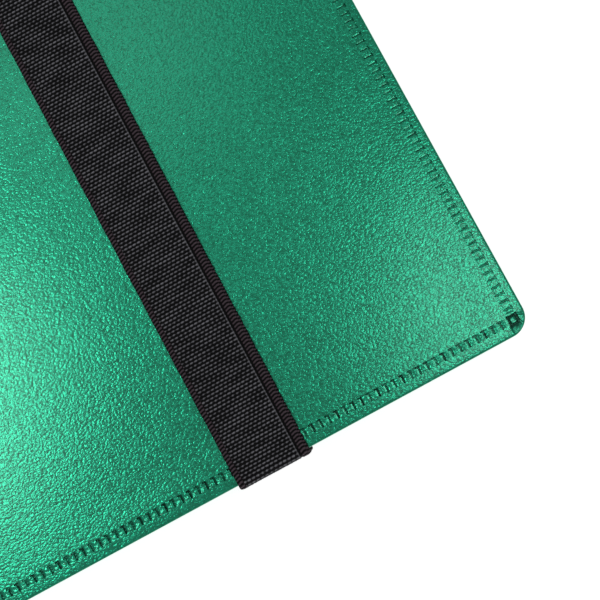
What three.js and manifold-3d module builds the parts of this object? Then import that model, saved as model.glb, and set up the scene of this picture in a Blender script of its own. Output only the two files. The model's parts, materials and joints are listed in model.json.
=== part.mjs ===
// A stamp album (stock book) lying closed on its back cover, held shut by an elastic band.
// Millimetres. +X points from the spine to the fore edge, +Y to the head, +Z up.
// The origin is the centre of the base. The cover is three stiff panels, back, spine and front,
// joined by two flexible hinges. Black leaves with clear pocket strips hang from the spine.
import * as THREE from 'three';
import { mergeVertices } from 'three/addons/utils/BufferGeometryUtils.js';
import Module from 'manifold-3d';

const wasm = await Module();
wasm.setup();

// ---- Driving dimensions -------------------------------------------------------------------------

const albumWidth = 232; // spine to fore edge
const albumHeight = 306; // head to tail
const albumThickness = 21; // across both covers, without the band

const skinThickness = 0.8; // outer leatherette with its padding
const boardThickness = 1.6; // grey board inside each panel
const liningThickness = 0.4; // inner leatherette
const panelThickness = skinThickness + boardThickness + liningThickness;
const rimWidth = 2; // skin wrapped round the edge of a board
const boardClearance = 0.1; // board edge to skin rim

const cornerRadius = 5.5; // fore edge corners
const spineCornerRadius = 0.8; // corners beside the spine
const arcSegments = 8; // steps per rounded corner or hinge bend

const seamMargin = 3; // panel edge to the pressed seam
const seamWidth = 2.2;
const seamDepth = 0.2;

const hingeRadius = 4; // outer bend of the flexible hinge
const hingeFilmThickness = 0.9;
const hingeGap = 0.3; // hinge film to the panel that turns on it

const leafCount = 8;
const leafPitch = 1.85; // card centre to card centre
const firstLeafZ = 3.9; // centre of the lowest card
const cardThickness = 0.8;
const cardHeight = 296;
const cardForeEdgeInset = 4; // card edge to cover edge
const gutterFilmThickness = 0.25;
const gutterFilmWidth = 16.2; // from the binding to the card
const bindingGap = 0.5; // binding strip face to the first edge of the gutter film

const pocketThickness = 0.2;
const pocketInset = 3; // clear sheet edge to card edge
const pocketRows = 9;
const pocketMouthHeight = 3.4; // open gap above each strip
const pocketSideTape = 4; // clear band that joins the strips at each side
const interleafThickness = 0.15;
const interleafLift = 0.05; // interleaf to the strips below it
const interleafInset = 2;
const interleafCornerRadius = 2;

const bindingThickness = 0.7;
const bindingInset = 1; // binding strip to the ends of the spine panel

const bandWidth = 20;
const bandThickness = 1.2;
const bandGap = 0.3; // band to cover
const bandToForeEdge = 63.5; // band's near edge to the fore edge, at the tail
const bandSkew = THREE.MathUtils.degToRad(0.36); // it leans towards the fore edge at the head
const bandStart = 2.4; // height where the free band leaves its sewn end
const bandEndLow = 0.9;
const bandEndHigh = 2.1;

// ---- Positions that follow from them ------------------------------------------------------------

const spineOuterX = -albumWidth / 2;
const foreEdgeX = albumWidth / 2;
const spineInnerX = spineOuterX + panelThickness;
const hingeCentreX = spineOuterX + hingeRadius;
const coverStartX = hingeCentreX + hingeGap;
const spineLowZ = hingeRadius;
const spineHighZ = albumThickness - hingeRadius;
const bindingFaceX = spineInnerX + bindingThickness;
const gutterStartX = bindingFaceX + bindingGap;
const cardStartX = gutterStartX + gutterFilmWidth;
const cardEndX = foreEdgeX - cardForeEdgeInset;
const bandEndX = foreEdgeX - bandToForeEdge;
const bandStartX = bandEndX - bandWidth;

// ---- Materials ----------------------------------------------------------------------------------

const looks = {
  green_leatherette: { color: 0x2f8f6b, roughness: 0.45 },
  green_lining: { color: 0x2a7d5f, roughness: 0.6 },
  grey_board: { color: 0x8b8780, roughness: 0.9 },
  black_card: { color: 0x17171a, roughness: 0.8 },
  black_linen: { color: 0x232326, roughness: 0.9 },
  clear_film: { color: 0xdfe6ea, roughness: 0.1, transparent: true, opacity: 0.35 },
  glassine: { color: 0xeeece2, roughness: 0.5, transparent: true, opacity: 0.6 },
  black_elastic: { color: 0x2b2a2e, roughness: 0.85 },
};

const album = new THREE.Group();

function addNode(name, look, geometry) {
  const mesh = new THREE.Mesh(geometry, new THREE.MeshStandardMaterial(looks[look]));
  mesh.name = name;
  album.add(mesh);
}

// ---- Solids -------------------------------------------------------------------------------------

// A closed box between two corners.
function boxBetween(low, high) {
  const size = high.map((value, axis) => value - low[axis]);
  const middle = high.map((value, axis) => (value + low[axis]) / 2);
  return new THREE.BoxGeometry(...size).translate(...middle);
}

// An outline from x0 to x1, centred on y = 0, with its own corner radius at each end in X.
function panelOutline(x0, x1, height, radiusAtStart, radiusAtEnd) {
  const half = height / 2;
  const outline = new THREE.Shape();
  outline.moveTo(x0 + radiusAtStart, -half);
  outline.lineTo(x1 - radiusAtEnd, -half);
  outline.absarc(x1 - radiusAtEnd, -half + radiusAtEnd, radiusAtEnd, -Math.PI / 2, 0);
  outline.lineTo(x1, half - radiusAtEnd);
  outline.absarc(x1 - radiusAtEnd, half - radiusAtEnd, radiusAtEnd, 0, Math.PI / 2);
  outline.lineTo(x0 + radiusAtStart, half);
  outline.absarc(x0 + radiusAtStart, half - radiusAtStart, radiusAtStart, Math.PI / 2, Math.PI);
  outline.lineTo(x0, -half + radiusAtStart);
  outline.absarc(x0 + radiusAtStart, -half + radiusAtStart, radiusAtStart, Math.PI, Math.PI * 1.5);
  return outline;
}

// A flat plate of an outline between two heights.
function plate(outline, z0, z1) {
  const options = { depth: z1 - z0, bevelEnabled: false, curveSegments: arcSegments };
  return new THREE.ExtrudeGeometry(outline, options).translate(0, 0, z0);
}

function toSolid(geometry) {
  const bare = geometry.clone();
  bare.deleteAttribute('normal');
  bare.deleteAttribute('uv');
  const merged = mergeVertices(bare, 1e-4);
  const mesh = new wasm.Mesh({
    numProp: 3,
    vertProperties: new Float32Array(merged.attributes.position.array),
    triVerts: new Uint32Array(merged.index.array),
  });
  return new wasm.Manifold(mesh);
}

// What is left of one closed solid after others are taken away from it.
function cutAway(geometry, ...tools) {
  const left = tools.reduce((solid, tool) => solid.subtract(toSolid(tool)), toSolid(geometry));
  const mesh = left.getMesh();
  const cut = new THREE.BufferGeometry();
  cut.setAttribute('position', new THREE.BufferAttribute(new Float32Array(mesh.vertProperties), 3));
  cut.setIndex(new THREE.BufferAttribute(new Uint32Array(mesh.triVerts), 1));
  cut.computeVertexNormals();
  return cut;
}

// The closed ring between an outline and a smaller one inside it.
function seamRing(x0, x1, height, radiusAtStart, radiusAtEnd, z0, z1) {
  const inset = seamMargin + seamWidth;
  const outer = panelOutline(
    x0 + seamMargin,
    x1 - seamMargin,
    height - 2 * seamMargin,
    Math.max(radiusAtStart - seamMargin, 0.3),
    Math.max(radiusAtEnd - seamMargin, 0.3),
  );
  const inner = panelOutline(x0 + inset, x1 - inset, height - 2 * inset, 0.3, 0.3);
  outer.holes.push(new THREE.Path(inner.getPoints(arcSegments).reverse()));
  return plate(outer, z0, z1);
}

// ---- Covers and spine ---------------------------------------------------------------------------

// One stiff panel in three layers, with its outer face down at z = 0: the skin is a shallow tray
// with a pressed seam round its outer face, the board lies in it, and the lining closes it.
function panelLayers(x0, x1, radiusAtStart, radiusAtEnd) {
  const outline = panelOutline(x0, x1, albumHeight, radiusAtStart, radiusAtEnd);
  const rimTop = skinThickness + boardThickness;
  const tray = panelOutline(
    x0 + rimWidth,
    x1 - rimWidth,
    albumHeight - 2 * rimWidth,
    Math.max(radiusAtStart - rimWidth, 0.3),
    Math.max(radiusAtEnd - rimWidth, 0.3),
  );
  const boardEdge = rimWidth + boardClearance;
  const board = panelOutline(
    x0 + boardEdge,
    x1 - boardEdge,
    albumHeight - 2 * boardEdge,
    Math.max(radiusAtStart - boardEdge, 0.3),
    Math.max(radiusAtEnd - boardEdge, 0.3),
  );
  const seam = seamRing(x0, x1, albumHeight, radiusAtStart, radiusAtEnd, -1, seamDepth);
  return {
    skin: cutAway(plate(outline, 0, rimTop), plate(tray, skinThickness, rimTop + 1), seam),
    board: plate(board, skinThickness, rimTop),
    lining: plate(outline, rimTop, panelThickness),
  };
}

function addPanel(name, layers, place) {
  addNode(`${name}_skin`, 'green_leatherette', layers.skin.applyMatrix4(place));
  addNode(`${name}_board`, 'grey_board', layers.board.applyMatrix4(place));
  addNode(`${name}_lining`, 'green_lining', layers.lining.applyMatrix4(place));
}

function addCovers() {
  const stay = new THREE.Matrix4();
  const turnOver = new THREE.Matrix4()
    .makeTranslation(0, 0, albumThickness)
    .multiply(new THREE.Matrix4().makeRotationX(Math.PI));
  const radii = [spineCornerRadius, cornerRadius];
  addPanel('back_cover', panelLayers(coverStartX, foreEdgeX, ...radii), stay);
  addPanel('front_cover', panelLayers(coverStartX, foreEdgeX, ...radii), turnOver);
}

// The spine is the same kind of panel, stood on edge with its outer face towards -X.
function addSpine() {
  const standUp = new THREE.Matrix4().makeBasis(
    new THREE.Vector3(0, 0, 1),
    new THREE.Vector3(0, -1, 0),
    new THREE.Vector3(1, 0, 0),
  );
  const place = new THREE.Matrix4().makeTranslation(spineOuterX, 0, 0).multiply(standUp);
  const radii = [spineCornerRadius, spineCornerRadius];
  addPanel('spine', panelLayers(spineLowZ, spineHighZ, ...radii), place);
}

// A quarter bend of leatherette from the flat of a cover to the flat of the spine.
function hingeFilm(centreZ, up) {
  const outer = hingeRadius;
  const inner = hingeRadius - hingeFilmThickness;
  const profile = new THREE.Shape();
  const from = up > 0 ? Math.PI / 2 : Math.PI;
  const to = from + Math.PI / 2;
  profile.absarc(0, 0, outer, from, to, false);
  profile.absarc(0, 0, inner, to, from, true);
  profile.closePath();
  const options = { depth: albumHeight, bevelEnabled: false, curveSegments: arcSegments };
  return new THREE.ExtrudeGeometry(profile, options)
    .translate(0, 0, -albumHeight / 2)
    .rotateX(Math.PI / 2)
    .translate(hingeCentreX, 0, centreZ);
}

function addHinges() {
  addNode('back_hinge_film', 'green_leatherette', hingeFilm(spineLowZ, -1));
  addNode('front_hinge_film', 'green_leatherette', hingeFilm(spineHighZ, 1));
}

function addBinding() {
  const half = cardHeight / 2;
  const low = [spineInnerX, -half, spineLowZ + bindingInset];
  const high = [bindingFaceX, half, spineHighZ - bindingInset];
  addNode('binding_strip', 'black_linen', boxBetween(low, high));
}

// ---- Leaves -------------------------------------------------------------------------------------

// A sheet of clear strips: each row is a strip with an open mouth above it, and a narrow band at
// each side joins the rows.
function pocketSheet(z0, z1) {
  const x0 = cardStartX + pocketInset;
  const x1 = cardEndX - pocketInset;
  const height = cardHeight - 2 * pocketInset;
  const pitch = height / pocketRows;
  const sheet = panelOutline(x0, x1, height, 0.5, 0.5);
  for (let row = 1; row < pocketRows; row += 1) {
    const top = -height / 2 + row * pitch;
    const mouth = new THREE.Path();
    mouth.moveTo(x0 + pocketSideTape, top);
    mouth.lineTo(x0 + pocketSideTape, top - pocketMouthHeight);
    mouth.lineTo(x1 - pocketSideTape, top - pocketMouthHeight);
    mouth.lineTo(x1 - pocketSideTape, top);
    mouth.closePath();
    sheet.holes.push(mouth);
  }
  return plate(sheet, z0, z1);
}

function interleafSheet(z0) {
  const x0 = cardStartX - interleafInset;
  const x1 = cardEndX - interleafInset;
  const height = cardHeight - 2 * interleafInset;
  const outline = panelOutline(x0, x1, height, 0.3, interleafCornerRadius);
  return plate(outline, z0, z0 + interleafThickness);
}

function addLeaf(number) {
  const z = firstLeafZ + (number - 1) * leafPitch;
  const half = cardHeight / 2;
  const cardTop = z + cardThickness / 2;
  const cardBottom = z - cardThickness / 2;
  const film = gutterFilmThickness / 2;
  const gutter = boxBetween([gutterStartX, -half, z - film], [cardStartX, half, z + film]);
  const card = panelOutline(cardStartX, cardEndX, cardHeight, 0.3, 1.5);
  addNode(`leaf_${number}_gutter`, 'black_linen', gutter);
  addNode(`leaf_${number}_card`, 'black_card', plate(card, cardBottom, cardTop));
  addNode(
    `leaf_${number}_pockets_upper`,
    'clear_film',
    pocketSheet(cardTop, cardTop + pocketThickness),
  );
  addNode(
    `leaf_${number}_pockets_lower`,
    'clear_film',
    pocketSheet(cardBottom - pocketThickness, cardBottom),
  );
  if (number < leafCount) {
    const lift = cardTop + pocketThickness + interleafLift;
    addNode(`leaf_${number}_interleaf`, 'glassine', interleafSheet(lift));
  }
}

// ---- Elastic band -------------------------------------------------------------------------------

// Leans a piece of the band along with it, about the tail edge.
function leanWithBand(geometry) {
  const slope = Math.tan(bandSkew);
  const lean = new THREE.Matrix4();
  lean.set(1, slope, 0, (slope * albumHeight) / 2, 0, 1, 0, 0, 0, 0, 1, 0, 0, 0, 0, 1);
  return geometry.applyMatrix4(lean);
}

// The band runs over the front cover from tail to head and down both ends of the album.
function addBand() {
  const inner = albumHeight / 2 + bandGap;
  const outer = inner + bandThickness;
  const top = albumThickness + bandGap + bandThickness;
  const whole = boxBetween([bandStartX, -outer, bandStart], [bandEndX, outer, top]);
  const inside = boxBetween(
    [bandStartX - 1, -inner, bandStart - 1],
    [bandEndX + 1, inner, top - bandThickness],
  );
  addNode('elastic_band', 'black_elastic', leanWithBand(cutAway(whole, inside)));
}

// Its two ends are caught in the edge of the back cover.
function addBandEnd(name, side) {
  const near = (side * albumHeight) / 2;
  const far = side * (albumHeight / 2 + bandGap + bandThickness);
  const low = [bandStartX, Math.min(near, far), bandEndLow];
  const high = [bandEndX, Math.max(near, far), bandEndHigh];
  addNode(name, 'black_elastic', leanWithBand(boxBetween(low, high)));
}

addCovers();
addSpine();
addHinges();
addBinding();
for (let number = 1; number <= leafCount; number += 1) addLeaf(number);
addBand();
addBandEnd('band_end_tail', -1);
addBandEnd('band_end_head', 1);

export default album;
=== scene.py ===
"""A green stamp album held shut by a woven elastic band, lying on a pale floor."""

import json
import math

import bmesh
import bpy
import numpy as np
from mathutils import Matrix, Vector


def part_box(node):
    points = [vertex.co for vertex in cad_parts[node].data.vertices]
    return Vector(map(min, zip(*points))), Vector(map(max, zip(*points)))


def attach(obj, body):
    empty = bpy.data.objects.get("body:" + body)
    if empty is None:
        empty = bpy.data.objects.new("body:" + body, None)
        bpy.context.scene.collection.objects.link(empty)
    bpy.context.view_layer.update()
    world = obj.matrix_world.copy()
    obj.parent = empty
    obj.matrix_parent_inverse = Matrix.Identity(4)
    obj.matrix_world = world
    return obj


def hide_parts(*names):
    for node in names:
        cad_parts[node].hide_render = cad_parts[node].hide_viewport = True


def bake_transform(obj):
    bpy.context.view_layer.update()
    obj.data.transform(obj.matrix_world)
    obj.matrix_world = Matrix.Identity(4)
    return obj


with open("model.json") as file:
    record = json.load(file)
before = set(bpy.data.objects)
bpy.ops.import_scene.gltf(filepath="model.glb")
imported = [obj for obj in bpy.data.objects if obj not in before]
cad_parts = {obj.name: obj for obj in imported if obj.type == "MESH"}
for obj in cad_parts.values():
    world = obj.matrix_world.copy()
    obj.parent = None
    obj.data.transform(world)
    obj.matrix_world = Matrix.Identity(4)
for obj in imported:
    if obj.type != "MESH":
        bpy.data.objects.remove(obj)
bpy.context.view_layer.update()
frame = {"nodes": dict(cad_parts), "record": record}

MM = 0.001

# ---- Sizes read from the frame ------------------------------------------------------------------

cover_low, cover_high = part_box("front_cover_lining")
skin_low, skin_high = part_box("front_cover_skin")
spine_outer_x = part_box("spine_skin")[0].x
band_low, band_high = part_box("elastic_band")

COVER_TOP = skin_high.z
SKIN_DEPTH = skin_high.z - skin_low.z
COVER_HEIGHT = cover_high.y - cover_low.y
HALF_HEIGHT = COVER_HEIGHT / 2
LEAVES = sum(name.endswith("_card") for name in frame["nodes"])

# ---- Chosen sizes -------------------------------------------------------------------------------

CORNER_RADIUS = 5.5 * MM  # fore edge corners
SPINE_CORNER_RADIUS = 0.8 * MM
BAND_SKEW = 0.36  # degrees off the album's length
TRAY_INSET = 2.0 * MM  # the skin's rim round the board
TRAY_DEPTH = 0.8 * MM  # outer face to the board

BORDER = 5.8 * MM  # width of the finely meshed border
HINGE_BORDER = 1.5 * MM  # the same along an edge that meets a hinge
COARSE_CELL = 9.0 * MM  # of the mesh over the middle of a panel
INNER_STEP = 2.5 * MM  # fine border to coarse mesh
CORNER_RAYS = 32
PRESS_DEPTH = 0.42 * MM  # of the seam's grooves
PILLOW_HEIGHT = 0.04 * MM  # of the cushions between them
STRIP_SINK = 0.01 * MM  # of the whole seam below the outer face
UNEVEN_STEP = 2.4  # radians from one rung's unevenness to the next
WALL = 0.09 * MM  # width of a groove's sloping wall
HOOK_WIDTH = 0.3 * MM
DOT_RADIUS = 0.3 * MM
FACET_LENGTH = 0.58 * MM
SHADE_START = 0.16 * MM  # depth from which the painted shade in a groove begins
SEAM_OUTSIDE = 2.1 * MM  # no groove is nearer the edge than this
CORNER_BOX = 2.1 * MM  # side of the little box where two seams meet
CORNER_CUSHION = 0.08 * MM  # height of the cushion inside it
PADDING_WAVE = 0.06 * MM  # unevenness of a panel's middle
GROOVE_EDGE_ANGLE = math.radians(45)  # edges sharper than this stay crisp


# ---- Mesh helpers -------------------------------------------------------------------------------


def new_object(name, vertices, faces):
    """A mesh object from points and faces, with shared points merged."""
    mesh = bpy.data.meshes.new(name)
    mesh.from_pydata([tuple(v) for v in vertices], [], [tuple(f) for f in faces])
    work = bmesh.new()
    work.from_mesh(mesh)
    bmesh.ops.remove_doubles(work, verts=work.verts, dist=1e-7)
    bmesh.ops.dissolve_degenerate(work, edges=work.edges, dist=1e-8)
    bmesh.ops.recalc_face_normals(work, faces=work.faces)
    work.to_mesh(mesh)
    work.free()
    for polygon in mesh.polygons:
        polygon.use_smooth = True
    obj = bpy.data.objects.new(name, mesh)
    bpy.context.scene.collection.objects.link(obj)
    return obj


def grid_faces(rows, columns, start=0):
    """Quads over a grid of vertices stored row by row."""
    quads = []
    for r in range(rows - 1):
        here = start + r * columns
        there = here + columns
        for c in range(columns - 1):
            quads.append((here + c, here + c + 1, there + c + 1, there + c))
    return quads


def closing_faces(rows, columns):
    """Quads that join the first and last point of each row, which closes a grid into a tube."""
    last = columns - 1
    return [
        (r * columns, (r + 1) * columns, (r + 1) * columns + last, r * columns + last)
        for r in range(rows - 1)
    ]


def smooth_step(value, low, high):
    t = np.clip((value - low) / (high - low), 0, 1)
    return t * t * (3 - 2 * t)


# ---- Node helpers -------------------------------------------------------------------------------


class Nodes:
    """A short way to build a node material."""

    def __init__(self, name):
        self.material = bpy.data.materials.new(name)
        self.material.use_nodes = True
        self.tree = self.material.node_tree
        self.tree.nodes.clear()
        self.output = self.tree.nodes.new("ShaderNodeOutputMaterial")
        self.shader = self.tree.nodes.new("ShaderNodeBsdfPrincipled")
        self.link(self.shader.outputs[0], self.output.inputs["Surface"])

    def add(self, kind, inputs=None, **settings):
        node = self.tree.nodes.new(kind)
        for key, value in settings.items():
            setattr(node, key, value)
        for key, value in (inputs or {}).items():
            self.feed(node.inputs[key], value)
        return node

    def feed(self, socket, value):
        if isinstance(value, bpy.types.NodeSocket):
            self.link(value, socket)
        else:
            socket.default_value = value

    def link(self, source, target):
        self.tree.links.new(source, target)

    def coordinates(self, scale=(1, 1, 1), rotation=(0, 0, 0)):
        source = self.add("ShaderNodeTexCoord").outputs["Object"]
        node = self.add("ShaderNodeMapping", {"Vector": source, "Scale": scale, "Rotation": rotation})
        return node.outputs[0]

    def noise(self, vector, scale, detail=3.0, roughness=0.55, distortion=0.0):
        node = self.add(
            "ShaderNodeTexNoise",
            {
                "Vector": vector,
                "Scale": scale,
                "Detail": detail,
                "Roughness": roughness,
                "Distortion": distortion,
            },
        )
        return node.outputs["Fac"]

    def pebbles(self, vector, scale):
        node = self.add(
            "ShaderNodeTexVoronoi",
            {"Vector": vector, "Scale": scale},
            feature="SMOOTH_F1",
        )
        return node.outputs["Distance"]

    def math(self, operation, a, b):
        node = self.add("ShaderNodeMath", operation=operation)
        self.feed(node.inputs[0], a)
        self.feed(node.inputs[1], b)
        return node.outputs[0]

    def ramp(self, factor, *stops):
        """stops are (position, colour)."""
        node = self.add("ShaderNodeValToRGB", {"Fac": factor})
        elements = node.color_ramp.elements
        while len(elements) < len(stops):
            elements.new(0.5)
        for element, (position, colour) in zip(elements, stops):
            element.position = position
            element.color = (*colour, 1)
        return node.outputs["Color"]

    def spread(self, factor, low, high, to_low, to_high):
        node = self.add("ShaderNodeMapRange")
        for key, value in zip(
            ("Value", "From Min", "From Max", "To Min", "To Max"),
            (factor, low, high, to_low, to_high),
        ):
            self.feed(node.inputs[key], value)
        return node.outputs[0]

    def bump(self, height, distance, strength=1.0):
        node = self.add("ShaderNodeBump", {"Height": height, "Strength": strength})
        node.inputs["Distance"].default_value = distance
        return node.outputs[0]

    def principled(self, **values):
        for key, value in values.items():
            self.feed(self.shader.inputs[key.replace("_", " ")], value)
        return self.material


# ---- Materials ----------------------------------------------------------------------------------


# Painted shade for the seam's deep grooves, partly the darker tone of compressed vinyl.
GROOVE_SHADE_GREEN = (0.001, 0.02, 0.012, 1)
GRAIN_HEIGHT = 0.00008  # metres


def green_leatherette(name, dark, light, metal, roughness, grain=1.0):
    """Fine grained pearly leatherette, with painted shade in the seam's grooves, partly the darker tone
    of compressed vinyl.
    """
    n = Nodes(name)
    place = n.coordinates(scale=(1.0, 1.3, 1.0), rotation=(0, 0, 0.5))
    pebbles = n.pebbles(place, 1450.0)
    fibres = n.noise(place, 1450.0, detail=1.0, roughness=0.5, distortion=0.2)
    cloud = n.noise(place, 14.0, detail=2.0)
    tone = n.math("ADD", n.math("MULTIPLY", fibres, 0.7), n.math("MULTIPLY", cloud, 0.3))
    colour = n.ramp(tone, (0.3, dark), (0.7, light))
    # The groove mask paints shade into the seam's grooves and thins the coat there.
    groove_shade = n.add("ShaderNodeAttribute", attribute_name="groove_shade").outputs["Fac"]
    shade = n.add("ShaderNodeMix", data_type="RGBA")
    n.feed(shade.inputs[0], n.math("MULTIPLY", groove_shade, 0.95))
    n.feed(shade.inputs[6], colour)
    shade.inputs[7].default_value = GROOVE_SHADE_GREEN
    rough = n.spread(fibres, 0.3, 0.7, roughness - 0.05, roughness + 0.07)
    gloss = n.spread(groove_shade, 0.0, 1.0, 0.45, 0.02)
    height = n.math("SUBTRACT", fibres, n.math("MULTIPLY", pebbles, 0.5))
    normal = n.bump(height, GRAIN_HEIGHT * grain)
    return n.principled(
        Base_Color=shade.outputs[2],
        Metallic=metal,
        Roughness=rough,
        Normal=normal,
        Specular_IOR_Level=0.25,
        Coat_Weight=gloss,
        Coat_Roughness=0.2,
    )


def grey_board():
    n = Nodes("grey_board")
    place = n.coordinates()
    fibre = n.noise(place, 900.0, detail=4.0)
    colour = n.ramp(fibre, (0.3, (0.16, 0.15, 0.13)), (0.7, (0.26, 0.245, 0.22)))
    return n.principled(Base_Color=colour, Roughness=0.9, Normal=n.bump(fibre, 0.0001))


def black_card():
    n = Nodes("black_card")
    place = n.coordinates()
    fibre = n.noise(place, 700.0, detail=5.0, roughness=0.65)
    fleck = n.noise(place, 2600.0, detail=2.0)
    tone = n.math("ADD", n.math("MULTIPLY", fibre, 0.6), n.math("MULTIPLY", fleck, 0.4))
    colour = n.ramp(tone, (0.3, (0.006, 0.006, 0.007)), (0.75, (0.022, 0.022, 0.024)))
    rough = n.spread(fibre, 0.3, 0.7, 0.62, 0.82)
    return n.principled(Base_Color=colour, Roughness=rough, Normal=n.bump(tone, 0.00008))


def black_linen():
    n = Nodes("black_linen")
    place = n.coordinates()
    across = n.add("ShaderNodeTexWave", {"Vector": place, "Scale": 420.0, "Distortion": 0.6})
    across.bands_direction = "X"
    along = n.add("ShaderNodeTexWave", {"Vector": place, "Scale": 420.0, "Distortion": 0.6})
    along.bands_direction = "Y"
    weave = n.math("MAXIMUM", across.outputs["Fac"], along.outputs["Fac"])
    colour = n.ramp(weave, (0.2, (0.006, 0.006, 0.007)), (0.9, (0.035, 0.035, 0.038)))
    return n.principled(Base_Color=colour, Roughness=0.85, Normal=n.bump(weave, 0.0001))


def clear_film():
    n = Nodes("clear_film")
    place = n.coordinates(scale=(1.0, 0.25, 1.0))
    ripple = n.noise(place, 60.0, detail=2.0)
    scuff = n.noise(place, 900.0, detail=3.0)
    rough = n.spread(scuff, 0.35, 0.75, 0.06, 0.16)
    return n.principled(
        Base_Color=(0.9, 0.93, 0.95, 1),
        Roughness=rough,
        Alpha=0.22,
        Specular_IOR_Level=0.6,
        Normal=n.bump(ripple, 0.0006, strength=0.4),
    )


def glassine():
    n = Nodes("glassine")
    place = n.coordinates()
    mottle = n.noise(place, 180.0, detail=4.0)
    ripple = n.noise(place, 30.0, detail=2.0)
    colour = n.ramp(mottle, (0.35, (0.62, 0.61, 0.55)), (0.7, (0.78, 0.77, 0.71)))
    rough = n.spread(mottle, 0.3, 0.7, 0.32, 0.46)
    return n.principled(
        Base_Color=colour,
        Roughness=rough,
        Alpha=0.62,
        Normal=n.bump(ripple, 0.0008, strength=0.5),
    )


def woven_elastic(name, dark, light):
    """Charcoal yarn, with a painted highlight on top of each rib and painted shade, nearly black,
    between ribs, and a little lint.
    """
    n = Nodes(name)
    place = n.coordinates(scale=(1.0, 2.2, 2.2))
    twist = n.noise(place, 1400.0, detail=4.0, roughness=0.65, distortion=0.8)
    lint = n.noise(place, 420.0, detail=3.0)
    lift = n.add("ShaderNodeAttribute", attribute_name="lift").outputs["Fac"]
    tone = n.math("ADD", n.math("MULTIPLY", twist, 0.5), n.math("MULTIPLY", lint, 0.2))
    # The yarn's height paints a highlight on rib tops and shade in the gaps between ribs.
    tone = n.math("MULTIPLY", lift, n.math("ADD", tone, 0.65))
    colour = n.ramp(tone, (0.2, dark), (0.95, light))
    return n.principled(
        Base_Color=colour,
        Roughness=n.spread(twist, 0.3, 0.7, 0.6, 0.85),
        Specular_IOR_Level=0.15,
        Normal=n.bump(twist, 0.00012, strength=0.7),
    )


GREEN_DARK = (0.003, 0.26, 0.135)
GREEN_LIGHT = (0.010, 0.44, 0.245)
LINING_DARK = (0.010, 0.13, 0.07)
LINING_LIGHT = (0.020, 0.19, 0.11)

looks = {
    "green_leatherette": green_leatherette("green_leatherette", GREEN_DARK, GREEN_LIGHT, 0.65, 0.17),
    "green_lining": green_leatherette("green_lining", LINING_DARK, LINING_LIGHT, 0.1, 0.5, 0.6),
    "grey_board": grey_board(),
    "black_card": black_card(),
    "black_linen": black_linen(),
    "clear_film": clear_film(),
    "glassine": glassine(),
    # The lighter colour is the painted highlight on the ribs' tops.
    "black_elastic": woven_elastic("black_elastic", (0.001, 0.001, 0.0014), (0.38, 0.38, 0.42)),
}
# The selvedge's slanting stitches get the same painted highlight and shade.
selvedge_look = woven_elastic("elastic_selvedge", (0.0012, 0.0008, 0.0012), (0.13, 0.095, 0.115))


def dress(obj, slot, *more):
    obj.data.materials.clear()
    for look in (looks[slot], *more):
        obj.data.materials.append(look)
    return obj


def dress_cad_nodes():
    """Every CAD node that stays in view takes its slot's finish."""
    for part in frame["record"]["subparts"]:
        node = frame["nodes"][part["node"]]
        node.data.materials.clear()
        node.data.materials.append(looks[part["material_slot"]])


# ---- Cover panels with their pressed seam -------------------------------------------------------


class Seam:
    """The ladder-like seam pressed along one side of a panel."""

    def __init__(self, margin, length, pitch, slot, press, hook, hook_inside, dimple, facet):
        self.margin = margin  # edge of the panel to the seam
        self.length = length  # of each rung
        self.pitch = pitch
        self.slot = slot  # half the width of a rung's groove
        self.press = press  # depth of the groove
        self.hook = hook  # how far the groove's hook reaches before and after the rung
        self.hook_inside = hook_inside  # hook at the rung's inner end, not at its outer end
        self.dimple = dimple  # depth of the dot between two rungs
        self.facet = facet  # how far the cushion after each rung slopes down to it

    def steps(self, start, end):
        return (end - start) / max(1, round((end - start) / self.pitch))

    def stations(self, start, end):
        """Places along a side, closest together at the walls of each groove."""
        step = self.steps(start, end)
        before, after = self.hook
        offsets = [-before - WALL, -before] if before else []
        offsets += [-self.slot - WALL, -self.slot, self.slot, self.slot + WALL]
        offsets += [after, after + WALL] if after else []
        offsets += [step / 2 - DOT_RADIUS, step / 2] if self.dimple else [step / 2]
        count = round((end - start) / step)
        places = [start + (k + 0.5) * step + offset for k in range(count) for offset in offsets]
        return np.array([start, *places[:-1], end])

    def relief(self, along, inset, start, end):
        """Height above the outer face: cushions between grooves, all within a shallow sunk strip."""
        step = self.steps(start, end)
        turn = (along - start) / step
        number = np.clip(np.floor(turn), 0, round((end - start) / step) - 1)
        off = (turn - number - 0.5) * step
        depth = inset - self.margin
        groove = 1 - smooth_step(np.abs(off), self.slot, self.slot + WALL)
        before, after = self.hook
        hook = smooth_step(off, -before - WALL, -before) * (1 - smooth_step(off, after, after + WALL))
        from_end = self.length - depth if self.hook_inside else depth
        hook = hook * (1 - smooth_step(from_end, HOOK_WIDTH, HOOK_WIDTH + WALL))
        groove = np.maximum(groove, hook)
        strip = smooth_step(depth, -WALL, 0.5 * WALL)
        strip = strip * (1 - smooth_step(depth, self.length - 0.5 * WALL, self.length + WALL))
        from_side = np.minimum(depth, self.length - depth)
        across = smooth_step(from_side, 0, 4 * WALL)
        between = smooth_step(np.abs(off), self.slot + WALL, self.slot + 4 * WALL)
        dot = np.maximum(0, 1 - np.hypot(np.abs(off) - step / 2, depth - self.length / 2) / DOT_RADIUS)
        uneven = 0.92 + 0.08 * np.sin(UNEVEN_STEP * number)
        slope = np.clip(1 - (off - self.slot - WALL) / FACET_LENGTH, 0, 1) * (off > 0)
        height = PILLOW_HEIGHT * uneven * across * between - STRIP_SINK - self.dimple * dot
        height = height - self.facet * slope * across
        return strip * (height * (1 - groove) - self.press * uneven * groove)


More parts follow.
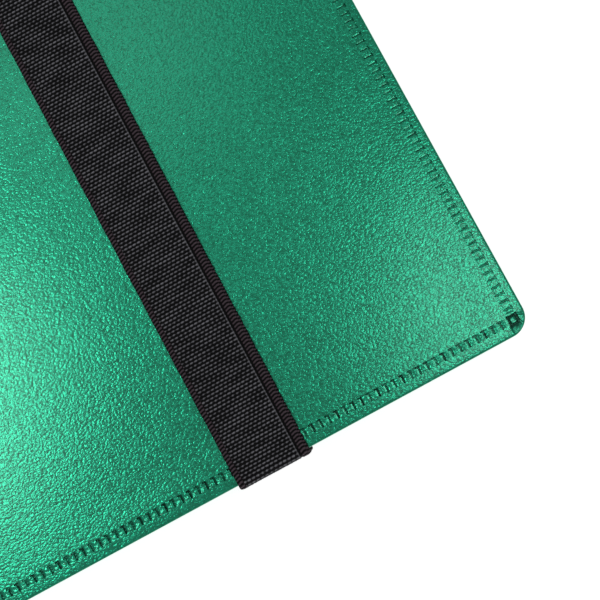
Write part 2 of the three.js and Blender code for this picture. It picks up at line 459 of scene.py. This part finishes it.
TAIL_SEAM = Seam(
    margin=2.85 * MM,
    length=2.15 * MM,
    pitch=2.33 * MM,
    slot=0.2 * MM,
    press=PRESS_DEPTH,
    hook=(0.75 * MM, 0.0),
    hook_inside=True,
    dimple=0.16 * MM,
    facet=0.12 * MM,
)
FORE_SEAM = Seam(
    margin=2.3 * MM,
    length=2.45 * MM,
    pitch=2.08 * MM,
    slot=0.08 * MM,
    press=0.8 * PRESS_DEPTH,
    hook=(0.42 * MM, 0.42 * MM),
    hook_inside=False,
    dimple=0.0,
    facet=0.0,
)


class BorderLine:
    """One line of a panel's border, running right round it."""

    def __init__(self, tail, fore, depth, rounding):
        self.tail = tail  # in from the tail and head edges
        self.fore = fore  # in from the fore edge, or from a hinge edge before it is narrowed
        self.depth = depth  # below the outer face
        self.rounding = rounding  # corner radius as a share of the panel's


def border_lines():
    """From the tray that holds the board, under and round the rim, and over the outer face."""
    lines = [
        BorderLine(TRAY_INSET, TRAY_INSET, TRAY_DEPTH, 1),
        BorderLine(TRAY_INSET, TRAY_INSET, SKIN_DEPTH, 1),
    ]
    rim = [  # inset and depth in millimetres, from the underside over the rounded edge
        (0.3, SKIN_DEPTH / MM),
        (0.0, SKIN_DEPTH / MM - 0.35),
        (0.0, 0.75),
        (0.05, 0.32),
        (0.16, 0.11),
        (0.38, 0.02),
        (0.65, 0.0),
    ]
    lines += [BorderLine(i * MM, i * MM, d * MM, 1 - i * MM / TAIL_SEAM.margin) for i, d in rim]
    hook = HOOK_WIDTH + WALL
    for share, offset in (  # share of a rung's length, and how far past it
        (0, -3 * WALL),
        (0, -WALL),
        (0, 0.5 * WALL),
        (0, HOOK_WIDTH),
        (0, hook),
        (0.5, -DOT_RADIUS),
        (0.5, 0.0),
        (0.5, DOT_RADIUS),
        (1, -hook),
        (1, -HOOK_WIDTH),
        (1, -0.5 * WALL),
        (1, WALL),
        (1, 3 * WALL),
    ):
        tail, fore = (seam.margin + share * seam.length + offset for seam in (TAIL_SEAM, FORE_SEAM))
        lines.append(BorderLine(tail, fore, 0.0, 0.0))
    lines.append(BorderLine(BORDER, BORDER, 0.0, 0.0))
    return lines


def rounded_square(turn, rounding):
    """Where a ray from one corner meets the unit square, whose far corner is rounded."""
    du, dv = math.sin(turn), math.cos(turn)
    reach = 1 / max(du, dv)
    centre = 1 - rounding
    if rounding > 0 and min(du, dv) * reach > centre:
        along = centre * (du + dv)
        reach = along + math.sqrt(max(0.0, along**2 - 2 * centre**2 + rounding**2))
    return reach * du, reach * dv


def corner_relief(tail, fore):
    """The little closed box where two seams meet, with its cushion and its heavy outer bar."""
    u = (fore - FORE_SEAM.margin - 0.25 * MM) / CORNER_BOX
    v = (tail - TAIL_SEAM.margin + 0.1 * MM) / CORNER_BOX
    if not (-0.25 < u < 1.2 and -0.25 < v < 1.2):
        return 0.0
    edge = min(abs(u), abs(v), abs(u - 1), abs(v - 1))
    wall = 0.2 if abs(u) < 0.2 else 0.12
    if edge < wall:
        return -PRESS_DEPTH
    inside = 0 <= u <= 1 and 0 <= v <= 1
    return CORNER_CUSHION if inside else 0.0


class PanelShape:
    """Outline of a panel and the places of its points round the border."""

    def __init__(self, width, height, hinges, radii):
        self.width, self.height = width, height
        self.narrow = [HINGE_BORDER / BORDER if hinge else 1.0 for hinge in hinges]
        self.radii = radii
        self.low_x = BORDER * self.narrow[0]
        self.high_x = width - BORDER * self.narrow[1]
        self.xs = TAIL_SEAM.stations(self.low_x, self.high_x)
        self.ys = FORE_SEAM.stations(BORDER, height - BORDER)

    def corner(self, line, at_high_x, at_head):
        """Points of one corner, from its tail or head side towards its fore or hinge side."""
        narrow = self.narrow[at_high_x]
        rounding = line.rounding * self.radii[at_high_x] / (BORDER - line.tail + 1e-9)
        points = []
        for k in range(1, CORNER_RAYS):
            u, v = rounded_square(math.radians(90) * k / CORNER_RAYS, rounding)
            fore = BORDER - u * (BORDER - line.fore)
            tail = BORDER - v * (BORDER - line.tail)
            lift = 0.0
            if line.depth == 0.0 and narrow == 1.0:
                lift = corner_relief(tail, fore)
            x = self.width - fore * narrow if at_high_x else fore * narrow
            y = self.height - tail if at_head else tail
            points.append((x, y, lift - line.depth))
        return points

    def ring(self, line):
        """One closed loop round the panel, starting along its tail side."""
        flat = line.depth > 0
        ends = (self.low_x, self.high_x)
        lift_x = 0 * self.xs if flat else TAIL_SEAM.relief(self.xs, line.tail, *ends)
        lift_y = 0 * self.ys if flat else FORE_SEAM.relief(self.ys, line.fore, BORDER, self.ys[-1])
        tail = [(x, line.tail, z - line.depth) for x, z in zip(self.xs, lift_x)]
        head = [(x, self.height - y, z) for x, y, z in tail]
        sides = []
        for at_high_x in (False, True):
            inset = line.fore * self.narrow[at_high_x]
            lift = lift_y if self.narrow[at_high_x] == 1.0 else 0 * lift_y
            x = self.width - inset if at_high_x else inset
            sides.append([(x, y, z - line.depth) for y, z in zip(self.ys, lift)])
        loop = tail + self.corner(line, True, False) + sides[1]
        loop += self.corner(line, True, True)[::-1] + head[::-1]
        loop += self.corner(line, False, True) + sides[0][::-1]
        return loop + self.corner(line, False, False)[::-1]

    def coarse(self):
        """Positions in a ring that also carry the coarse mesh, side by side."""
        picks, start = [], 0
        for count, cells in ((len(self.xs), self.cells_x), (len(self.ys), self.cells_y)) * 2:
            side = np.linspace(0, count - 1, cells + 1).round().astype(int) + start
            picks.append([int(i) for i in side])
            start += count + CORNER_RAYS - 1
        return picks

    @property
    def cells_x(self):
        return max(2, round((self.high_x - self.low_x) / COARSE_CELL))

    @property
    def cells_y(self):
        return round((self.height - 2 * BORDER) / COARSE_CELL)


def bridge(faces, coarse, fine, picks, length):
    """Faces between a coarse loop and a fine one that share the places picked."""
    for k, here in enumerate(picks):
        there = picks[(k + 1) % len(picks)]
        span = (there - here) % length
        run = [fine + (here + step) % length for step in range(span + 1)]
        faces.append([coarse + k, *run, coarse + (k + 1) % len(picks)])


def panel(name, shape):
    """A padded panel, outer face up at z = 0, from (0, 0) to (width, height)."""
    vertices, faces = [], []
    lines = border_lines()
    under, over = lines[:2], lines[2:]
    sides = shape.coarse()
    picks = [i for side in sides for i in side]
    for line in under:
        ring = shape.ring(line)
        vertices.extend(ring[i] for i in picks)
    count = len(picks)
    faces.append(range(count))
    for k in range(count):
        faces.append((k, (k + 1) % count, count + (k + 1) % count, count + k))
    fine = len(vertices)
    length = len(shape.ring(over[0]))
    for line in over:
        vertices.extend(shape.ring(line))
    bridge(faces, count, fine, picks, length)
    for r in range(len(over) - 1):
        here, there = fine + r * length, fine + (r + 1) * length
        for k in range(length):
            after = (k + 1) % length
            faces.append((here + k, here + after, there + after, there + k))
    add_middle(vertices, faces, shape, sides, fine + (len(over) - 1) * length)
    obj = new_object(name, vertices, faces)
    obj.data.set_sharp_from_angle(angle=GROOVE_EDGE_ANGLE)
    # Paints shade into the seam's grooves.
    mark_groove_shade(obj, shape)
    return obj


def add_middle(vertices, faces, shape, sides, last_ring):
    """The broad middle of a panel: a coarse grid, joined to the fine border all round."""
    start = len(vertices)
    nx, ny = shape.cells_x, shape.cells_y
    step = min(INNER_STEP, 0.3 * (shape.high_x - shape.low_x))
    xs = [shape.xs[i] for i in np.linspace(0, len(shape.xs) - 1, nx + 1).round().astype(int)]
    ys = [shape.ys[i] for i in np.linspace(0, len(shape.ys) - 1, ny + 1).round().astype(int)]
    xs[0], xs[-1] = xs[0] + step, xs[-1] - step
    ys[0], ys[-1] = ys[0] + step, ys[-1] - step
    vertices.extend((x, y, padding_wave(x, y)) for y in ys for x in xs)
    faces.extend(grid_faces(ny + 1, nx + 1, start))
    bottom = list(range(nx + 1))
    right = [nx + r * (nx + 1) for r in range(ny + 1)]
    top = [ny * (nx + 1) + c for c in range(nx, -1, -1)]
    left = [r * (nx + 1) for r in range(ny, -1, -1)]
    for side, inner in zip(sides, (bottom, right, top, left)):
        for k in range(len(side) - 1):
            run = [last_ring + i for i in range(side[k], side[k + 1] + 1)]
            faces.append([start + inner[k], *run, start + inner[k + 1]])


def mark_groove_shade(obj, shape):
    """Stores how far each point of the seam is pressed in, as the mask for the painted shade in the
    grooves, partly the darker tone of compressed vinyl.
    """
    count = len(obj.data.vertices)
    place = np.empty(count * 3)
    obj.data.vertices.foreach_get("co", place)
    x, y, z = place.reshape(-1, 3).T
    inset = np.minimum(np.minimum(x, shape.width - x), np.minimum(y, shape.height - y))
    sunk = np.clip((-z - SHADE_START) / (PRESS_DEPTH - SHADE_START), 0, 1)
    in_seam = (inset > SEAM_OUTSIDE) & (z > -PRESS_DEPTH - 0.01 * MM)
    # Deeper points of the seam get more painted shade.
    groove_shade = np.where(in_seam, sunk, 0)
    layer = obj.data.attributes.new("groove_shade", "FLOAT", "POINT")
    layer.data.foreach_set("value", groove_shade.astype(np.float32))


def padding_wave(x, y):
    """Slight unevenness of the padding, well under half a millimetre."""
    return -PADDING_WAVE * (1 - math.cos(x * 70) * math.cos(y * 55))


def place_cover(obj, up):
    """Stands a panel made at the origin on a cover: outer face up, or down for the back."""
    if up:
        obj.matrix_world = Matrix.Translation((skin_low.x, -HALF_HEIGHT, COVER_TOP))
    else:
        turn = Matrix.Rotation(math.pi, 4, "X")
        obj.matrix_world = Matrix.Translation((skin_low.x, HALF_HEIGHT, 0)) @ turn
    bake_place(obj)


def bake_place(obj):
    obj.data.transform(obj.matrix_world)
    obj.matrix_world = Matrix.Identity(4)


def build_covers():
    width = skin_high.x - skin_low.x
    radii = (SPINE_CORNER_RADIUS, CORNER_RADIUS)
    for body, up in (("front_cover", True), ("back_cover", False)):
        obj = panel(f"{body}_leatherette", PanelShape(width, COVER_HEIGHT, (True, False), radii))
        place_cover(obj, up)
        dress(obj, "green_leatherette")
        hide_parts(f"{body}_skin")
        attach(obj, body)


def build_spine():
    """The same kind of panel, stood on edge with its outer face towards -X."""
    low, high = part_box("spine_skin")
    radii = (SPINE_CORNER_RADIUS, SPINE_CORNER_RADIUS)
    obj = panel("spine_leatherette", PanelShape(high.z - low.z, COVER_HEIGHT, (True, True), radii))
    stand = Matrix(((0, 0, -1, spine_outer_x), (0, 1, 0, -HALF_HEIGHT), (1, 0, 0, low.z), (0, 0, 0, 1)))
    obj.matrix_world = stand
    bake_place(obj)
    dress(obj, "green_leatherette")
    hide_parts("spine_skin")
    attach(obj, "spine")


# ---- Hinges of flexible leatherette, each built as one fixed bent strip -------------------------

HINGE_SINK = 0.18 * MM  # below the panels' outer faces
HINGE_THICKNESS = 0.75 * MM
HINGE_TUCK = 0.9 * MM  # how far each end runs on past the bend, into the panel's skin
HINGE_INSET = 0.5 * MM  # from head and tail
HINGE_STEPS = 14  # round the bend
HINGE_ROWS = 62  # from tail to head
CREASE_DEPTH = 0.16 * MM  # of the creases that run along the bend
CREASE_WAVES = 6  # half waves round the bend
PINCH_DEPTH = 0.15 * MM  # of the slow unevenness along it


def hinge_leather(name, node, up):
    """A bent strip from just inside a cover's edge to just inside the spine's."""
    low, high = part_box(node)
    centre = (high.x, low.z if up else high.z)
    radius = (high.x - low.x) - HINGE_SINK
    sign = 1 if up else -1
    path = [(centre[0] + HINGE_TUCK, centre[1] + sign * radius, 0, sign)]
    for k in range(HINGE_STEPS + 1):
        angle = math.radians(90) * k / HINGE_STEPS
        normal = (-math.sin(angle), sign * math.cos(angle))
        path.append((centre[0] + radius * normal[0], centre[1] + radius * normal[1], *normal))
    path.append((centre[0] - radius, centre[1] - sign * HINGE_TUCK, -1, 0))
    half = HALF_HEIGHT - HINGE_INSET
    vertices = []
    for row in range(HINGE_ROWS):
        y = -half + 2 * half * row / (HINGE_ROWS - 1)
        pinch = PINCH_DEPTH * math.sin(y * 130.0) * math.sin(y * 37.0)
        ring = []
        for k, (x, z, nx, nz) in enumerate(path):
            share = k / (len(path) - 1)
            crease = CREASE_DEPTH * math.cos(share * math.pi * CREASE_WAVES) * math.sin(share * math.pi)
            lift = crease + pinch * math.sin(share * math.pi)
            ring.append((x + nx * lift, y, z + nz * lift))
        for x, z, nx, nz in reversed(path):
            ring.append((x - nx * HINGE_THICKNESS, y, z - nz * HINGE_THICKNESS))
        vertices.append(ring)
    columns = len(vertices[0])
    faces = grid_faces(HINGE_ROWS, columns)
    for start in (0, (HINGE_ROWS - 1) * columns):
        for k in range(len(path) - 1):
            far = start + columns - 1 - k
            faces.append((start + k, start + k + 1, far - 1, far))
    faces += closing_faces(HINGE_ROWS, columns)
    return new_object(name, [v for ring in vertices for v in ring], faces)


def build_hinges():
    for name, up in (("back", False), ("front", True)):
        node = f"{name}_hinge_film"
        obj = hinge_leather(f"{name}_hinge_leatherette", node, up)
        dress(obj, "green_leatherette")
        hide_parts(node)
        if up:
            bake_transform(obj)
        else:
            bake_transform(obj)


# ---- Elastic band -------------------------------------------------------------------------------

RIB_PITCH = 0.92 * MM
RIB_DEPTH = 0.24 * MM
DASH_LENGTH = 1.25 * MM
BAND_THICKNESS = 1.0 * MM  # without the ribs
BEND_RADIUS = 1.5 * MM  # of the band's middle, over the edges of the cover
LOW_SELVEDGE = 1.7 * MM  # on the spine side
HIGH_SELVEDGE = 2.7 * MM  # on the fore edge side
SELVEDGE_TWIST = 2.4 * MM
SELVEDGE_FOLD = 1.2 * MM  # in from the edge, where its slanting stitches turn back
YARN_GAP = 0.34 * MM  # from the wide selvedge to the raised yarn beside it
RIB_PHASES = (0.0, 0.3, 0.52, 0.76)  # rows of points in one rib
RIB_RISE = (0.0, 0.5, 1.0, 0.3)  # height of each, as a share of the rib's
MAIN_COLUMNS = 38
UNDER_COLUMNS = 5
MIDDLE_INSET = 0.65 * MM  # of the band's middle line inside its CAD box
BEND_STEPS = 8
LOOK_AHEAD = 0.4 * MM  # to either side of a place, to find its direction
SEWN_END = ((0.95, 0.15), (0.35, 0.5), (0.0, 1.4))  # millimetres in from the side and up
WEAVE_SEED = 7


def band_route():
    """The band's middle line in Y and Z, from its tail end over the cover to its head end."""
    side_y = band_high.y - MIDDLE_INSET
    top_z = band_high.z - MIDDLE_INSET
    start_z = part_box("band_end_tail")[0].z
    points = [(-side_y + inward * MM, start_z + up * MM) for inward, up in SEWN_END]
    points.append((-side_y, top_z - BEND_RADIUS))
    for k in range(1, BEND_STEPS + 1):
        angle = math.radians(90) * k / BEND_STEPS
        y = -side_y + BEND_RADIUS * (1 - math.cos(angle))
        points.append((y, top_z - BEND_RADIUS + BEND_RADIUS * math.sin(angle)))
    points += [(-y, z) for y, z in reversed(points)]
    return np.array(points)


def walk(points, distances):
    """Positions and outward directions at distances along a polyline, and its whole length."""
    steps = np.linalg.norm(np.diff(points, axis=0), axis=1)
    reach = np.concatenate([[0], np.cumsum(steps)])

    def at(where):
        return np.stack([np.interp(where, reach, points[:, k]) for k in range(2)], axis=1)

    along = at(distances + LOOK_AHEAD) - at(distances - LOOK_AHEAD)
    along /= np.linalg.norm(along, axis=1)[:, None]
    return at(distances), np.stack([-along[:, 1], along[:, 0]], axis=1), reach[-1]


def band_columns(width):
    """Positions across the band, closer together at the raised yarn beside the wide selvedge."""
    main = np.linspace(LOW_SELVEDGE, width - HIGH_SELVEDGE - 0.75 * MM, MAIN_COLUMNS)
    low = np.array([0.0, 0.25, 0.6, 1.0, 1.35]) * MM
    yarn = width - HIGH_SELVEDGE + np.array([-0.5, -0.34, -0.18, -0.02, 0.16]) * MM
    high = width - HIGH_SELVEDGE + np.array([0.45, 0.9, 1.35, 1.8, 2.2, 2.5, 2.7]) * MM
    return np.concatenate([low, main, yarn, high])


def weave_rows(columns, width, place, outward):
    """Points of the band row by row, round each cross-section, and how high each yarn lies."""
    rng = np.random.default_rng(WEAVE_SEED)
    slope = math.tan(math.radians(BAND_SKEW))
    main = (columns > LOW_SELVEDGE - 0.1 * MM) & (columns < width - HIGH_SELVEDGE - 0.6 * MM)
    yarn = np.abs(columns - (width - HIGH_SELVEDGE - YARN_GAP)) < 0.2 * MM
    groove = np.abs(columns - (width - HIGH_SELVEDGE + 0.02 * MM)) < 0.2 * MM
    vertices, lifts = [], []
    shift = 0.0
    for row, (yz, out) in enumerate(zip(place, outward)):
        rib, phase = divmod(row, len(RIB_PHASES))
        if phase == 0:
            shift = (0.5 * (rib % 2) + rng.uniform(-0.16, 0.16)) * DASH_LENGTH
            strength = rng.uniform(0.8, 1.0)
        rise = RIB_RISE[phase]
        wave = 0.5 + 0.5 * np.cos(2 * np.pi * (columns + shift) / DASH_LENGTH)
        dash = smooth_step(wave, 0.15, 0.75) * rng.uniform(0.7, 1.0, len(columns))
        lift = np.where(main, rise * strength * (0.3 + 0.7 * dash), 0.0)
        slant = np.abs(np.minimum(columns, width - columns) - SELVEDGE_FOLD) / SELVEDGE_TWIST
        twist = 0.5 + 0.5 * np.cos(2 * np.pi * (rib + RIB_PHASES[phase] + slant))
        lift = np.where(~main, 0.85 * smooth_step(twist, 0.2, 0.9), lift)
        lift = np.where(yarn, 0.3 + 0.35 * rise, lift)
        lift = np.where(groove, 0.0, lift)
        edge = np.minimum(columns, width - columns)
        round_off = 0.42 * MM * (1 - np.sqrt(np.clip(edge / (0.9 * MM), 0, 1)))
        height = BAND_THICKNESS / 2 + lift * RIB_DEPTH - 0.1 * MM - round_off
        wander = 0.05 * MM * math.sin(row * 0.11) + rng.normal(0, 0.02 * MM)
        base_x = band_low.x + slope * (yz[0] - band_low.y)
        for x, h in zip(columns, height):
            drift = wander * (1 if x > width / 2 else -1) * (abs(x / width - 0.5) > 0.4)
            vertices.append((base_x + x + drift, yz[0] + out[0] * h, yz[1] + out[1] * h))
        for x in (width, width - 0.5 * MM, width / 2, 0.5 * MM, 0.0):
            inner = BAND_THICKNESS / 2 - (0.3 * MM if x in (0.0, width) else 0.0)
            vertices.append((base_x + x, yz[0] - out[0] * inner, yz[1] - out[1] * inner))
        # These heights also paint the band's light and shade: highlight on raised yarn, shade between
        # ribs, at the edges and underneath.
        lifts.extend(np.where(edge < 0.05 * MM, 0.2, lift))
        lifts.extend([0.0] * UNDER_COLUMNS)
    return vertices, lifts


def build_band():
    """One woven mesh for the band and both sewn ends."""
    route = band_route()
    total = walk(route, np.array([0.0]))[2]
    ribs = round(total / RIB_PITCH)
    distances = np.array([(rib + phase) * total / ribs for rib in range(ribs) for phase in RIB_PHASES])
    place, outward, _ = walk(route, distances)
    skew_shift = math.tan(math.radians(BAND_SKEW)) * 2 * band_high.y
    width = band_high.x - band_low.x - skew_shift
    columns = band_columns(width)
    vertices, lifts = weave_rows(columns, width, place, outward)
    across = len(columns) + UNDER_COLUMNS
    rows = len(distances)
    faces = grid_faces(rows, across) + closing_faces(rows, across)
    faces.append(range(across))
    faces.append(range((rows - 1) * across, rows * across))
    mesh = bpy.data.meshes.new("elastic_band_woven")
    mesh.from_pydata(vertices, [], [tuple(face) for face in faces])
    layer = mesh.attributes.new("lift", "FLOAT", "POINT")
    layer.data.foreach_set("value", np.array(lifts, np.float32))
    obj = bpy.data.objects.new("elastic_band_woven", mesh)
    bpy.context.scene.collection.objects.link(obj)
    for polygon in mesh.polygons:
        polygon.use_smooth = True
    dress(obj, "black_elastic", selvedge_look)
    selvedge = (columns < LOW_SELVEDGE - 0.1 * MM) | (columns > width - HIGH_SELVEDGE + 0.1 * MM)
    marks = np.zeros(len(mesh.polygons), np.int32)
    strip = np.concatenate([selvedge[:-1], [True] + [False] * (UNDER_COLUMNS - 1)])
    marks[: (rows - 1) * (across - 1)] = np.tile(strip, rows - 1)
    mesh.polygons.foreach_set("material_index", marks)
    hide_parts("elastic_band", "band_end_tail", "band_end_head")
    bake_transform(obj)


# ---- Leaves -------------------------------------------------------------------------------------

POCKET_ROWS = 9
POCKET_MOUTH = 3.4 * MM
FILM_THICKNESS = 0.06 * MM
MOUTH_LIFT = 0.12 * MM  # how far a strip stands open at its mouth
STRIP_FOOT = 0.3 * MM  # from the row below
STRIP_COLUMNS = 15
STRIP_STATIONS = np.array([0, 0.04, 0.3, 0.65, 1.0])  # shares of its height
SHEET_COLUMNS = 24
SHEET_ROWS = 32
SHEET_LIFT = 0.02 * MM
SHEET_WAVE = 0.1 * MM


def slab(vertices, faces, across, along, put, thickness):
    """Adds a thin closed sheet over a grid of two lists of places; put gives its lower face."""
    start = len(vertices)
    count = len(across) * len(along)
    for lift in (0.0, thickness):
        for a in along:
            for b in across:
                x, y, z = put(b, a)
                vertices.append((x, y, z + lift))
    columns, rows = len(across), len(along)
    lower = grid_faces(rows, columns, start)
    faces.extend(tuple(reversed(face)) for face in lower)
    faces.extend(tuple(i + count for i in face) for face in lower)
    rim = [start + c for c in range(columns)]
    rim += [start + r * columns + columns - 1 for r in range(1, rows)]
    rim += [start + (rows - 1) * columns + c for c in range(columns - 2, -1, -1)]
    rim += [start + r * columns for r in range(rows - 2, 0, -1)]
    for a, b in zip(rim, rim[1:] + rim[:1]):
        faces.append((a, b, b + count, a + count))


def clear_strips(name, node, side):
    """The strips of one side of a leaf: each fixed at its foot and a little open at its mouth."""
    low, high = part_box(node)
    pitch = (high.y - low.y) / POCKET_ROWS
    across = np.linspace(low.x, high.x, STRIP_COLUMNS)
    card_z = low.z if side > 0 else high.z
    vertices, faces = [], []
    for row in range(POCKET_ROWS):
        foot = low.y + row * pitch + STRIP_FOOT
        mouth = low.y + (row + 1) * pitch - POCKET_MOUTH
        along = foot + (mouth - foot) * STRIP_STATIONS

        def put(x, y, foot=foot, mouth=mouth, row=row):
            share = (y - foot) / (mouth - foot)
            sides = math.sin(math.pi * (x - low.x) / (high.x - low.x))
            lift = MOUTH_LIFT * share * (0.55 + 0.45 * math.sin(x * 60 + row * 2.1)) * sides
            z = card_z + side * (0.01 * MM + lift)
            return (x, y, z if side > 0 else z - FILM_THICKNESS)

        slab(vertices, faces, across, along, put, FILM_THICKNESS)
    return new_object(name, vertices, faces)


def interleaf_sheet(name, node, number):
    """A glassine sheet with a slight waviness that differs from leaf to leaf."""
    low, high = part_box(node)
    across = np.linspace(low.x, high.x, SHEET_COLUMNS)
    along = np.linspace(low.y, high.y, SHEET_ROWS)

    def put(x, y):
        wave = 0.5 + 0.5 * math.sin(x * 55 + number) * math.sin(y * 41 + 2 * number)
        return (x, y, low.z + SHEET_LIFT + SHEET_WAVE * wave)

    vertices, faces = [], []
    slab(vertices, faces, across, along, put, FILM_THICKNESS / 2)
    return new_object(name, vertices, faces)


def build_leaves():
    for number in range(1, LEAVES + 1):
        body = f"leaf_{number}"
        for side, word in ((1, "upper"), (-1, "lower")):
            node = f"leaf_{number}_pockets_{word}"
            obj = clear_strips(f"leaf_{number}_strips_{word}", node, side)
            dress(obj, "clear_film")
            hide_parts(node)
            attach(obj, body)
        node = f"leaf_{number}_interleaf"
        if node in frame["nodes"]:
            obj = interleaf_sheet(f"leaf_{number}_glassine", node, number)
            dress(obj, "glassine")
            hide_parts(node)
            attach(obj, body)


dress_cad_nodes()
build_covers()
build_spine()
build_hinges()
build_band()
build_leaves()


# ---- Floor, light and camera --------------------------------------------------------------------


FLOOR_SIZE = 60.0
FLOOR_DROP = 0.0002  # below the album's underside


def build_floor():
    bpy.ops.mesh.primitive_plane_add(size=FLOOR_SIZE, location=(0, 0, -FLOOR_DROP))
    floor = bpy.context.object
    floor.name = "floor"
    n = Nodes("pale_floor")
    floor.data.materials.append(
        n.principled(
            Base_Color=(0.9, 0.9, 0.9, 1),
            Roughness=0.8,
            Emission_Color=(1, 1, 1, 1),
            Emission_Strength=0.8,
        )
    )


ALBUM_TURN = math.radians(28.41)  # the album's head points this far left of the picture's top


def add_softbox(name, place, size, power):
    """A rectangular light facing straight down, square to the picture."""
    data = bpy.data.lights.new(name, "AREA")
    data.shape = "RECTANGLE"
    data.size, data.size_y = size
    data.energy = power
    light = bpy.data.objects.new(name, data)
    bpy.context.scene.collection.objects.link(light)
    light.location = place
    light.rotation_euler = (0, 0, -ALBUM_TURN)


WORLD_LIGHT = 0.31  # strength of the white surroundings, as the album sees them
LENS = 84
CAMERA_TARGET = Vector((68.0, -119.5, 21.0)) * MM
CAMERA_PLACE = Vector((68.4, -142.6, 371.1)) * MM


def build_lights():
    world = bpy.data.worlds.new("studio")
    bpy.context.scene.world = world
    world.use_nodes = True
    background = world.node_tree.nodes["Background"]
    background.inputs["Color"].default_value = (1, 1, 1, 1)
    # The light falling on the album is dim, but the camera sees the white of the studio beyond.
    ray = world.node_tree.nodes.new("ShaderNodeLightPath")
    strength = world.node_tree.nodes.new("ShaderNodeMapRange")
    strength.inputs["To Min"].default_value = WORLD_LIGHT
    strength.inputs["To Max"].default_value = 1.0
    world.node_tree.links.new(ray.outputs["Is Camera Ray"], strength.inputs["Value"])
    world.node_tree.links.new(strength.outputs["Result"], background.inputs["Strength"])
    add_softbox("left_softbox", (-0.303, 0.036, 1.0), (0.20, 0.24), 0.97)
    add_softbox("head_softbox", (0.0, 0.31, 1.0), (0.30, 0.30), 0.24)
    add_softbox("right_softbox", (0.240, -0.150, 1.0), (0.15, 0.20), 0.43)


def build_camera():
    data = bpy.data.cameras.new("camera")
    data.lens = LENS
    data.sensor_width = 36
    data.clip_start = 0.01
    camera = bpy.data.objects.new("camera", data)
    bpy.context.scene.collection.objects.link(camera)
    back = (CAMERA_PLACE - CAMERA_TARGET).normalized()
    right = Vector((math.sin(ALBUM_TURN), math.cos(ALBUM_TURN), 0)).cross(back).normalized()
    up = back.cross(right)
    camera.matrix_world = Matrix(
        (
            (right.x, up.x, back.x, CAMERA_PLACE.x),
            (right.y, up.y, back.y, CAMERA_PLACE.y),
            (right.z, up.z, back.z, CAMERA_PLACE.z),
            (0, 0, 0, 1),
        )
    )
    bpy.context.scene.camera = camera


build_floor()
build_lights()
build_camera()
bpy.context.scene.view_settings.view_transform = "Standard"
